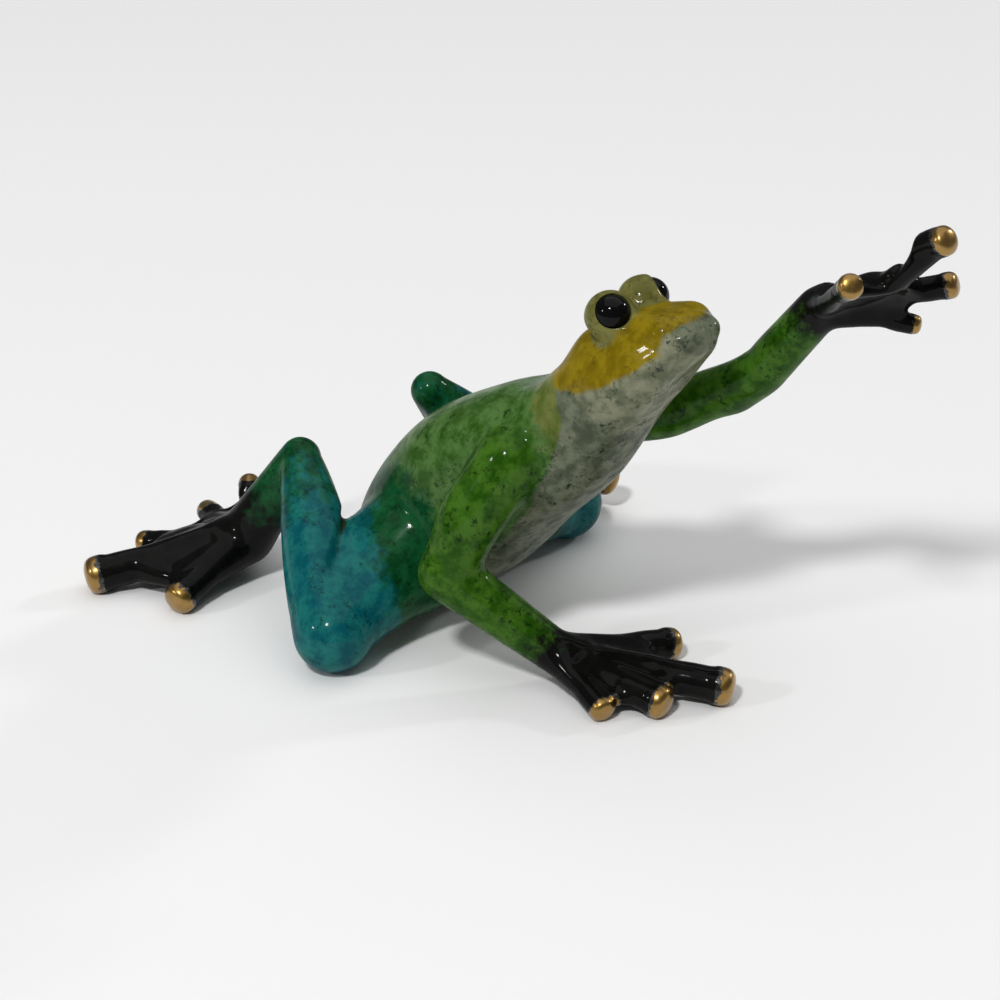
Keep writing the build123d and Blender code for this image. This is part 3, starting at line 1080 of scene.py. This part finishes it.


# Colour zones of the patina, with painted shade and light among them


@dataclass
class Zones:
    """Where each colour of the patina lies, as soft shares from 0 to 1."""

    clay: Clay
    skin: Skin
    parting: Parting
    blur_passes: int = 10

    # Hind legs: distances from hip, shank and heel
    hip_band: Band = (30.0, 13.0)
    teal_band: Band = (22.0, 7.0)
    heel_band: Band = (36.0, 8.0)
    heel_green_share: float = 0.54
    tarsus_band: Band = (-4.0, 3.0)

    # Heights above the spine at which the pale belly and the yellow mask end, by shares along the trunk
    pale_shares: tuple[float, ...] = (0.0, 0.2, 0.35, 0.455, 0.536, 0.608, 0.668, 0.71, 0.725, 1.0)
    pale_heights: tuple[float, ...] = (-19.0, -17.0, -15.0, -13.0, -10.2, -6.5, -2.5, 1.1, 8.0, 40.0)
    pale_band: Band = (2.0, -2.0)
    mask_shares: tuple[float, ...] = (0.68, 0.711, 0.734, 0.78, 0.856, 0.90, 0.94, 1.0)
    mask_heights: tuple[float, ...] = (10.5, 9.5, 6.6, 3.6, 0.8, 0.3, 0.0, -0.5)
    mask_band: Band = (-1.8, 1.8)

    # Where the jaw, the nape and the mask start along the trunk, and where jaw and mask end at the snout
    jaw_start: Band = (0.72, 0.84)
    jaw_end: Band = (1.0, 0.972)
    nape_start: Band = (0.59, 0.72)
    mask_start: Band = (0.64, 0.73)
    snout_points: int = 3
    snout_band: Band = (1.0, 5.2)
    lid_band: Band = (8.0, 5.5)

    # Creases, painted darker as shade: how deep a point lies under the same skin made smoother
    hollow_passes: int = 25
    hollow_band: Band = (0.03, 0.4)

    # Feet: where the black is half full, before the foot's root, and how far it fades
    black_starts: dict[End, float] = field(default_factory=lambda: {End.FORE: -5.0, End.HIND: -13.0})
    black_fade: float = 12.0
    black_reach: float = 5.0
    bare_reach_share: float = 1.3
    bare_start_share: float = 0.05
    # How far up the bare face of a toe is tilted
    bare_tilts: dict[str, tuple[float, ...]] = field(
        default_factory=lambda: {"right_hind": (1.2, 1.2, 0.4, 0.0, 0.0)}
    )

    def __post_init__(self) -> None:
        """Takes the skin's places in the trunk's terms."""
        self.share, self.rise = self.skin.trunk.coordinates(self.clay.points)
        self.trunk = self.soft("torso_casting", "belly_plug")

    def paint(self) -> None:
        """Works out every zone and keeps it on the skin."""
        zones: dict[str, Callable[[], np.ndarray]] = {
            # The trunk's lighter green, partly painted light on the back
            "back": lambda: self.trunk,
            "deep": self.deep,
            "teal": self.teal,
            "pale": self.pale,
            "jaw": self.jaw,
            "olive": self.olive,
            "yellow": self.yellow,
            "lid": self.lid,
            # Painted shade in the creases
            "hollow": self.hollow,
            "black": self.black,
            "bare": self.bare,
        }
        for name, work_out in zones.items():
            self.clay.keep(name, work_out())

    def none(self) -> np.ndarray:
        """A zone that lies nowhere yet."""
        return np.zeros(len(self.clay.points))

    def soft(self, *nodes: str) -> np.ndarray:
        """Some castings as a zone with a soft border."""
        return self.clay.blurred(self.parting.belongs(*nodes).astype(float), self.blur_passes)

    def distance(self, place: Sequence[float]) -> np.ndarray:
        """How far each point of the skin lies from a place."""
        return np.linalg.norm(self.clay.points - np.array(place), axis=1)

    def deep(self) -> np.ndarray:
        """The dark green of the hips, under all the other colours of the hind legs.

        Returns:
            The zone's share at each point.
        """
        share = self.none()
        for limb in HIND_LIMBS:
            share = np.maximum(share, smoothstep(self.distance(limb.joints[0]), *self.hip_band))
            share = np.maximum(share, self.soft(f"{limb.name}_leg", f"{limb.name}_foot"))
        return share

    def teal(self) -> np.ndarray:
        """The hind legs, fullest at knee and shank, and greener towards the heel.

        Returns:
            The zone's share at each point.
        """
        share = self.none()
        for limb in HIND_LIMBS:
            shank, tarsus = limb.bone(1), limb.bone(2)
            near, _ = along_path(self.clay.points, (shank.start, shank.end))
            heel = smoothstep(self.distance(shank.end), *self.heel_band)
            before = tarsus.gap(self.clay.points) - shank.gap(self.clay.points)
            own = smoothstep(near, *self.teal_band) * smoothstep(before, *self.tarsus_band)
            share = np.maximum(share, own * (1 - self.heel_green_share * heel))
        return share * (1 - self.trunk)

    def pale(self) -> np.ndarray:
        """Jaw, throat and belly, in a pale colour painted darker than the jaw's, partly as shade under the
        head and body.
        """
        border = np.interp(self.share, self.pale_shares, self.pale_heights)
        return smoothstep(self.rise - border, *self.pale_band) * self.trunk

    def jaw(self) -> np.ndarray:
        """The lower jaw, in the pale colour as it is: the snout's end is a darker grey, and the throat is
        painted darker, partly as shade.
        """
        return self.pale() * smoothstep(self.share, *self.jaw_start) * smoothstep(self.share, *self.jaw_end)

    def olive(self) -> np.ndarray:
        """The nape, where the back's green runs into the yellow."""
        return smoothstep(self.share, *self.nape_start) * self.trunk

    def yellow(self) -> np.ndarray:
        """The top and cheeks of the head, above the lips and short of the snout's end.

        Returns:
            The zone's share at each point.
        """
        border = np.interp(self.share, self.mask_shares, self.mask_heights)
        above = smoothstep(self.rise - border, *self.mask_band)
        lip = self.skin.trunk.lip[: self.snout_points]
        both = lip, self.skin.trunk.mirrored(lip)
        front = np.min([along_path(self.clay.points, path)[0] for path in both], axis=0)
        start = smoothstep(self.share, *self.mask_start)
        return above * start * smoothstep(front, *self.snout_band) * self.trunk

    def lid(self) -> np.ndarray:
        """The lumps that hold the eyes."""
        lumps = [smoothstep(self.distance(eye.foot), *self.lid_band) for eye in self.skin.eyes.values()]
        return np.max(lumps, axis=0)

    def hollow(self) -> np.ndarray:
        """How deep a point lies in a crease, where the colour is painted darker as shade, like ambient
        occlusion.

        Returns:
            The zone's share at each point.
        """
        soft = Clay(self.clay.obj)
        before, normals = soft.points.copy(), soft.normals()
        soft.relax(np.ones(len(before)), self.hollow_passes)
        sunk = np.einsum("ij,ij->i", soft.points - before, normals)
        soft.points = before
        soft.write()
        return smoothstep(sunk, *self.hollow_band)

    def black(self) -> np.ndarray:
        """The feet, from above wrist and ankle.

        Returns:
            The zone's share at each point.
        """
        share = self.none()
        for limb in LIMBS:
            start = self.black_starts[limb.end]
            ahead = (self.clay.points - np.array(limb.joints[-1])) @ limb.axis
            *_, upper, lower = [limb.bone(i).gap(self.clay.points) for i in range(len(limb.joints) - 1)]
            foot = self.parting.belongs(f"{limb.name}_foot", f"{limb.name}_toe_tips")
            leg = self.parting.belongs(f"{limb.name}_leg") & (lower < np.minimum(upper, self.black_reach))
            own = smoothstep(ahead, start - self.black_fade, start + self.black_fade)
            share = np.maximum(share, own * (foot | leg))
        return share

    def bare(self) -> np.ndarray:
        """How far out on its toe's ball a point lies. A tilted face takes its points from the foot.

        Returns:
            A share of the ball at each point.
        """
        share = self.none() - 1
        for limb in LIMBS:
            tips = self.skin.tips[limb.name]
            tilts = self.bare_tilts.get(limb.name, (0.0,) * len(tips))
            for tip, tilt in zip(tips, tilts):
                out = direction((0, 0, 0), tip.heading + np.array((0, 0, tilt)))
                offset = (self.clay.points - tip.centre) / tip.radius
                near = np.linalg.norm(offset, axis=1) < self.bare_reach_share
                share[near] = offset[near] @ out
                if tilt:
                    self.parting.claim(f"{limb.name}_toe_tips", near & (share > self.bare_start_share))
        return share


# Finishes


def linear(colour: str) -> tuple[float, float, float, float]:
    """An sRGB hex colour as the linear one that a shader takes."""
    channels = [int(colour[i : i + 2], 16) / 255 for i in (1, 3, 5)]
    return (*(c / 12.92 if c <= 0.04045 else ((c + 0.055) / 1.055) ** 2.4 for c in channels), 1.0)


def connect(tree: bpy.types.NodeTree, node: bpy.types.Node, inputs: Inputs) -> None:
    """Sets a node's sockets.

    Args:
        tree: the material's nodes.
        node: the node.
        inputs: values for its sockets, or sockets to link them to, by name or place.
    """
    for key, value in inputs.items():
        if isinstance(value, bpy.types.NodeSocket):
            tree.links.new(value, node.inputs[key])
        else:
            node.inputs[key].default_value = value


def add_node(
    tree: bpy.types.NodeTree, kind: str, inputs: Inputs, output: str | int = 0, **settings: object
) -> bpy.types.NodeSocket:
    """Adds a node with its settings and links.

    Args:
        tree: the material's nodes.
        kind: the node's type, without the words that all of them start with.
        inputs: values for its sockets, or sockets to link them to, by name or place.
        output: which of its outputs is wanted.
        settings: the node's own properties.

    Returns:
        The wanted output.
    """
    node = tree.nodes.new(f"ShaderNode{kind}")
    for name, value in settings.items():
        setattr(node, name, value)
    connect(tree, node, inputs)
    return node.outputs[output]


def new_material(name: str) -> tuple[bpy.types.Material, bpy.types.NodeTree, bpy.types.Node]:
    """A new material.

    Args:
        name: the material's name.

    Returns:
        The material, its nodes and its main shader.
    """
    material = bpy.data.materials.new(name)
    material.use_nodes = True
    return material, material.node_tree, material.node_tree.nodes["Principled BSDF"]


@dataclass(frozen=True)
class Cloud:
    """A cloudy pattern: how large its lumps are, how fine its detail is, and which band of it shows."""

    size: float
    detail: float = 4.0
    roughness: float = 0.6
    band: Band | None = None

    def add(self, tree: bpy.types.NodeTree) -> bpy.types.NodeSocket:
        """Adds the pattern to a material, at its real size on the object.

        Args:
            tree: the material's nodes.

        Returns:
            The pattern's value.
        """
        lumps: Inputs = {
            "Vector": add_node(tree, "TexCoord", {}, "Object"),
            "Scale": 1 / (self.size * MM),
            "Detail": self.detail,
            "Roughness": self.roughness,
        }
        value = add_node(tree, "TexNoise", lumps, "Fac")
        if self.band is None:
            return value
        spread: Inputs = {"Value": value, "From Min": self.band[0], "From Max": self.band[1]}
        return add_node(tree, "MapRange", spread, interpolation_type="SMOOTHSTEP")


@dataclass(frozen=True)
class Border:
    """A zone's ragged border: how much the zone counts against a cloud, and between which sums it shows."""

    weight: float
    band: Band

    def add(
        self, tree: bpy.types.NodeTree, zone: str, cloud: bpy.types.NodeSocket
    ) -> bpy.types.NodeSocket:
        """Adds a zone of the skin to a material.

        Args:
            tree: the material's nodes.
            zone: the zone's name.
            cloud: the cloud that makes its border ragged.

        Returns:
            The zone's share.
        """
        value = add_node(tree, "Attribute", {}, "Fac", attribute_name=zone)
        ragged = add_node(tree, "Math", {0: value, 1: self.weight, 2: cloud}, operation="MULTIPLY_ADD")
        spread: Inputs = {"Value": ragged, "From Min": self.band[0], "From Max": self.band[1]}
        return add_node(tree, "MapRange", spread, interpolation_type="SMOOTHSTEP")


@dataclass(frozen=True)
class Gloss:
    """How a finish shines: a roughness that follows a cloud, a fine grain, and the coat of lacquer."""

    roughness: Pair
    grain: Cloud
    grain_depth: float
    grain_strength: float
    coat: tuple[tuple[str, float], ...]

    def inputs(self, tree: bpy.types.NodeTree, cloud: bpy.types.NodeSocket) -> Inputs:
        """The shader's sockets for it.

        Args:
            tree: the material's nodes.
            cloud: the cloud that the roughness follows.

        Returns:
            Values and sockets, by the names of the shader's own.
        """
        relief: Inputs = {
            "Height": self.grain.add(tree),
            "Strength": self.grain_strength,
            "Distance": self.grain_depth * MM,
        }
        rough: Inputs = {"Value": cloud, "To Min": self.roughness[0], "To Max": self.roughness[1]}
        return {
            "Normal": add_node(tree, "Bump", relief, "Normal"),
            "Roughness": add_node(tree, "MapRange", rough),
            **dict(self.coat),
        }


@dataclass(frozen=True)
class Tone:
    """One colour of the patina: two shades that mottle into each other, and its speckles."""

    zone: str
    shade: str
    light: str
    speckle: str
    speckle_share: float


@dataclass(frozen=True)
class PatinatedBronze:
    """Bronze with a torched and stippled patina under clear lacquer: deep colour, wet gloss."""

    edge: Cloud = Cloud(5.0, 6, 0.7, (0.28, 0.72))
    mottle: Cloud = Cloud(4.2, 5, 0.65, (0.36, 0.64))
    speckle: Cloud = Cloud(1.5, 6, 0.75, (0.51, 0.62))
    patches: Cloud = Cloud(6.5, 3, 0.6, (0.40, 0.60))
    border: Border = Border(2.0, (1.0, 2.0))
    gloss: Gloss = Gloss(
        roughness=(0.45, 0.33),
        grain=Cloud(1.0, 3, 0.5),
        grain_depth=0.03,
        grain_strength=0.5,
        coat=(
            ("Specular IOR Level", 0.02),
            ("Coat Weight", 0.2),
            ("Coat Roughness", 0.09),
            ("Coat IOR", 1.5),
        ),
    )
    tones: tuple[Tone, ...] = (
        Tone("", "#1f4803", "#40691c", "#0a2203", 0.9),
        # The trunk, lighter and greyer than the limbs: partly its own grey-green mottling, partly painted
        # light on the back, which is lit more from above
        Tone("back", "#2c5213", "#4f733a", "#10290a", 0.9),
        Tone("deep", "#043a1a", "#14522c", "#021a0c", 0.8),
        Tone("teal", "#024f58", "#1a6c68", "#032c30", 0.75),
        Tone("olive", "#4f5f20", "#6c7338", "#2a3812", 0.6),
        # The pale colour darkened, partly for the snout's darker grey and partly as painted shade on throat
        # and belly under the head and body
        Tone("pale", "#474e3c", "#6f7560", "#1a241b", 1.0),
        # The jaw: the pale colour itself, lighter than the throat's painted shade
        Tone("jaw", "#60664f", "#888a72", "#263026", 0.95),
        Tone("yellow", "#6f5e04", "#8a7712", "#4c4003", 0.6),
        Tone("lid", "#5f5f2c", "#787540", "#34361c", 0.7),
        # Painted shade, laid where a crease lies deep
        Tone("hollow", "#10220d", "#1a3015", "#0a1408", 0.0),
        Tone("black", "#060706", "#0e0f0d", "#020202", 0.0),
    )

    def material(self) -> bpy.types.Material:
        """Builds the finish.

        Returns:
            The material, which reads the zones that the skin carries.
        """
        material, tree, shader = new_material("patinated_bronze_lacquered")
        edge, mottle = self.edge.add(tree), self.mottle.add(tree)
        dots: Inputs = {0: self.speckle.add(tree), 1: self.patches.add(tree)}
        stipple = add_node(tree, "Math", dots, operation="MULTIPLY")
        first, *others = self.tones
        colour = self.colour_of(tree, first, mottle, stipple)
        for tone in others:
            own = self.colour_of(tree, tone, mottle, stipple)
            laid: Inputs = {SHARE: self.border.add(tree, tone.zone, edge), UNDER: colour, OVER: own}
            colour = add_node(tree, "Mix", laid, MIXED, data_type="RGBA")
        connect(tree, shader, {"Base Color": colour, **self.gloss.inputs(tree, mottle)})
        return material

    def colour_of(
        self,
        tree: bpy.types.NodeTree,
        tone: Tone,
        mottle: bpy.types.NodeSocket,
        stipple: bpy.types.NodeSocket,
    ) -> bpy.types.NodeSocket:
        """One tone's own colour.

        Args:
            tree: the material's nodes.
            tone: the tone.
            mottle: the cloud that goes from its shade to its light.
            stipple: the dots of its speckles.

        Returns:
            The mottled and speckled colour.
        """
        shades: Inputs = {SHARE: mottle, UNDER: linear(tone.shade), OVER: linear(tone.light)}
        own = add_node(tree, "Mix", shades, MIXED, data_type="RGBA")
        if not tone.speckle_share:
            return own
        dots = add_node(tree, "Math", {0: stipple, 1: tone.speckle_share}, operation="MULTIPLY")
        speckled: Inputs = {SHARE: dots, UNDER: own, OVER: linear(tone.speckle)}
        return add_node(tree, "Mix", speckled, MIXED, data_type="RGBA")


@dataclass(frozen=True)
class PolishedBrass:
    """Brass filed and buffed by hand: warm and bright, with black patina lapping ragged over its root."""

    shade: str = "#7d5d22"
    light: str = "#b39050"
    patina: str = "#080806"
    cloud: Cloud = Cloud(2.4)
    edge: Cloud = Cloud(1.6, 3, 0.5)
    border: Border = Border(1.0, (0.62, 0.70))
    gloss: Gloss = Gloss(
        roughness=(0.22, 0.44),
        grain=Cloud(0.7, 3, 0.5),
        grain_depth=0.04,
        grain_strength=0.4,
        coat=(("Coat Weight", 0.6), ("Coat Roughness", 0.06)),
    )

    def material(self) -> bpy.types.Material:
        """Builds the finish.

        Returns:
            The material, which reads how far out on its toe a point lies.
        """
        material, tree, shader = new_material("brass_buffed")
        cloud = self.cloud.add(tree)
        shades: Inputs = {SHARE: cloud, UNDER: linear(self.shade), OVER: linear(self.light)}
        brass = add_node(tree, "Mix", shades, MIXED, data_type="RGBA")
        bare = self.border.add(tree, "bare", self.edge.add(tree))
        lapped: Inputs = {SHARE: bare, UNDER: linear(self.patina), OVER: brass}
        colour = add_node(tree, "Mix", lapped, MIXED, data_type="RGBA")
        connect(tree, shader, {"Base Color": colour, "Metallic": bare, **self.gloss.inputs(tree, cloud)})
        return material


@dataclass(frozen=True)
class PlainFinish:
    """A finish of one material all over: two shades in a cloud, and an even gloss."""

    name: str
    shade: str
    light: str
    cloud: Cloud
    gloss: tuple[tuple[str, float], ...]

    def material(self) -> bpy.types.Material:
        """Builds the finish.

        Returns:
            The material.
        """
        material, tree, shader = new_material(self.name)
        shades: Inputs = {SHARE: self.cloud.add(tree), UNDER: linear(self.shade), OVER: linear(self.light)}
        colour = add_node(tree, "Mix", shades, MIXED, data_type="RGBA")
        connect(tree, shader, {"Base Color": colour, **dict(self.gloss)})
        return material


# Fire-polished black glass: a mirror-smooth dome with hardly a colour of its own
BLACK_GLASS = PlainFinish(
    "glass_black", "#050505", "#0b0c0d", Cloud(3.0), (("Roughness", 0.03), ("Specular IOR Level", 0.14))
)
# Drawn steel rod, cut and left bright: a fine cloudy grain
DRAWN_STEEL = PlainFinish(
    "steel_drawn", "#8a8d90", "#b4b7ba", Cloud(0.6), (("Metallic", 1.0), ("Roughness", 0.3))
)


# The figure and its stage


@dataclass
class Frog:
    """The whole figure: skin, eyes and the hidden dowels."""

    skin: Skin = field(default_factory=Skin)

    def slot_of(self, node: str) -> Slot:
        """The record's finish for a casting.

        Args:
            node: the casting's name.

        Returns:
            The finish's slot.
        """
        if "toe_tips" in node:
            return Slot.BRASS
        if "foot" in node:
            return Slot.BLACK
        return Slot.TEAL if "hind_leg" in node else Slot.GREEN

    def build(self) -> None:
        """Models, colours and parts the skin, and dresses every solid."""
        clay = self.skin.model()
        parting = Parting(clay, self.skin.castings())
        Zones(clay, self.skin, parting).paint()
        bronze, brass = PatinatedBronze().material(), PolishedBrass().material()
        for node, piece in parting.part().items():
            slot = self.slot_of(node)
            self.dress(piece, node, brass if slot is Slot.BRASS else bronze)
        glass, steel = BLACK_GLASS.material(), DRAWN_STEEL.material()
        for node in frame["nodes"]:
            if node.endswith("_eye"):
                self.turn(node, glass)
            elif node.endswith("_dowel"):
                self.turn(node, steel)

    def turn(self, node: str, finish: bpy.types.Material) -> None:
        """Dresses a turned piece, an eye or a dowel, smooth but for its true edges.

        Args:
            node: the piece's solid.
            finish: the material.
        """
        piece = node_copy(node, f"{node}_turned")
        activate(piece)
        bpy.ops.object.shade_smooth_by_angle(angle=math.radians(TRUE_EDGE_ANGLE))
        self.dress(piece, node, finish)

    def dress(self, piece: bpy.types.Object, node: str, finish: bpy.types.Material) -> None:
        """Gives a piece its finish and puts it in its solid's place.

        Args:
            piece: the piece.
            node: the solid that it stands for.
            finish: the material.
        """
        piece.data.materials.append(finish)
        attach(piece, "root")
        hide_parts(node)
        LOG.info("%s stands for %s, %d faces", piece.name, node, len(piece.data.polygons))


@dataclass(frozen=True)
class Lamp:
    """A soft box: where it hangs round the figure, its size, and its power."""

    name: str
    azimuth: float
    elevation: float
    distance: float
    width: float
    watts: float


@dataclass
class Studio:
    """Floor, lamps and camera."""

    target: Point = (-1.6, -9.26, 33.12)
    azimuth: float = 40.0
    elevation: float = 27.0
    distance: float = 600.0
    scale: float = 0.22
    sensor: float = 36.0
    floor_width: float = 8000.0
    floor_colour: str = "#fafafa"
    floor_roughness: float = 0.9
    sky_colour: str = "#ffffff"
    sky_strength: float = 0.15
    lamps: tuple[Lamp, ...] = (
        Lamp("key_lamp", 16.0, 52.0, 2400.0, 260.0, 27.0),
        Lamp("left_lamp", -27.0, 26.0, 2400.0, 160.0, 8.0),
        Lamp("back_lamp", 159.0, 25.0, 2400.0, 200.0, 8.0),
        Lamp("top_lamp", 200.0, 78.0, 2400.0, 3600.0, 31.0),
    )

    def away(self, azimuth: float, elevation: float) -> Vector:
        """The direction from the figure to a place round it."""
        a, e = math.radians(azimuth), math.radians(elevation)
        return Vector((math.sin(a) * math.cos(e), -math.cos(a) * math.cos(e), math.sin(e)))

    def aim(self, obj: bpy.types.Object, azimuth: float, elevation: float, distance: float) -> None:
        """Hangs a lamp or the camera round the figure, looking at the target.

        Args:
            obj: the lamp or the camera.
            azimuth: degrees round the figure.
            elevation: degrees above the floor.
            distance: how far off it hangs.
        """
        back = self.away(azimuth, elevation)
        obj.location = (Vector(self.target) + back * distance) * MM
        obj.rotation_euler = (-back).to_track_quat("-Z", "Y").to_euler()
        bpy.context.scene.collection.objects.link(obj)

    def build(self) -> None:
        """Sets the stage."""
        bpy.context.scene.view_settings.view_transform = "Standard"
        self.build_floor()
        self.build_sky()
        for lamp in self.lamps:
            light = bpy.data.lights.new(lamp.name, "AREA")
            light.shape = "SQUARE"
            light.size = lamp.width * MM
            light.energy = lamp.watts
            self.aim(bpy.data.objects.new(lamp.name, light), lamp.azimuth, lamp.elevation, lamp.distance)
        self.build_camera()

    def build_floor(self) -> None:
        """A plain pale floor."""
        deselect_all()
        bpy.ops.mesh.primitive_plane_add(size=self.floor_width * MM)
        floor = bpy.context.active_object
        floor.name = "floor"
        material, tree, shader = new_material("paper_white")
        paper: Inputs = {"Base Color": linear(self.floor_colour), "Roughness": self.floor_roughness}
        connect(tree, shader, paper)
        floor.data.materials.append(material)

    def build_sky(self) -> None:
        """An even, plain sky."""
        world = bpy.data.worlds.new("studio")
        world.use_nodes = True
        light: Inputs = {"Color": linear(self.sky_colour), "Strength": self.sky_strength}
        connect(world.node_tree, world.node_tree.nodes["Background"], light)
        bpy.context.scene.world = world

    def build_camera(self) -> None:
        """The camera, at the photograph's angle."""
        camera = bpy.data.cameras.new("camera")
        camera.sensor_width = self.sensor
        camera.lens = self.sensor * self.distance / (self.scale * IMAGE_PIXELS)
        camera.clip_end = 2 * self.floor_width * MM
        holder = bpy.data.objects.new("camera", camera)
        self.aim(holder, self.azimuth, self.elevation, self.distance)
        bpy.context.scene.camera = holder


def main() -> None:
    """Builds the figure and its stage."""
    logging.basicConfig(level=logging.INFO, format="%(name)s: %(message)s")
    Frog().build()
    Studio().build()


if __name__ == "__main__":
    main()
